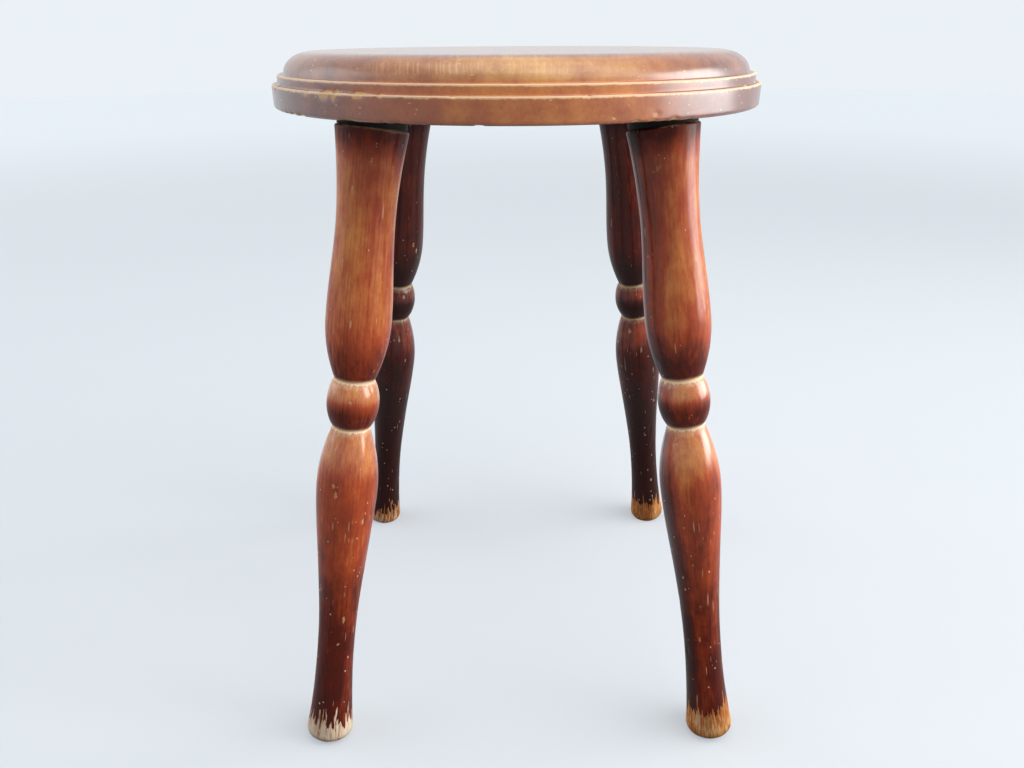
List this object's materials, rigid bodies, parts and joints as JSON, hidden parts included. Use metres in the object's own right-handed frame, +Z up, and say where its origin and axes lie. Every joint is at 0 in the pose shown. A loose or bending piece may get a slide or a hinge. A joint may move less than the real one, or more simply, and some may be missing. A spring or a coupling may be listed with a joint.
{
  "type": "milking stool",
  "caption": "Round stool with a moulded solid wooden seat on splayed, turned and beaded wooden legs that screw into angled steel plates under the seat.",
  "frame": {"origin": "centre of the stool's footprint, on the floor", "axes": "+Z up along the seat's axis; the front is -Y, so the front legs stand at -X -Y and +X -Y"},
  "size_m": [0.303, 0.303, 0.44],
  "materials": {
    "seat_wood": "satin lacquer over reddish-brown stain, worn pale on the two arrises",
    "leg_wood": "satin lacquer over dark red-brown stain, worn pale at the necks and bare at the foot",
    "plate_steel": "black lacquered pressed steel",
    "bolt_steel": "plain steel",
    "screw_steel": "dull plated steel"
  },
  "bodies": {
    "root": {"seat": "seat_wood", "leg_front_left": "leg_wood", "leg_front_right": "leg_wood", "leg_back_right": "leg_wood", "leg_back_left": "leg_wood", "mounting_plate_front_left": "plate_steel", "mounting_plate_front_right": "plate_steel", "mounting_plate_back_right": "plate_steel", "mounting_plate_back_left": "plate_steel", "hanger_bolt_front_left": "bolt_steel", "hanger_bolt_front_right": "bolt_steel", "hanger_bolt_back_right": "bolt_steel", "hanger_bolt_back_left": "bolt_steel", "plate_screws_front_left": "screw_steel", "plate_screws_front_right": "screw_steel", "plate_screws_back_right": "screw_steel", "plate_screws_back_left": "screw_steel"}
  },
  "joints": []
}
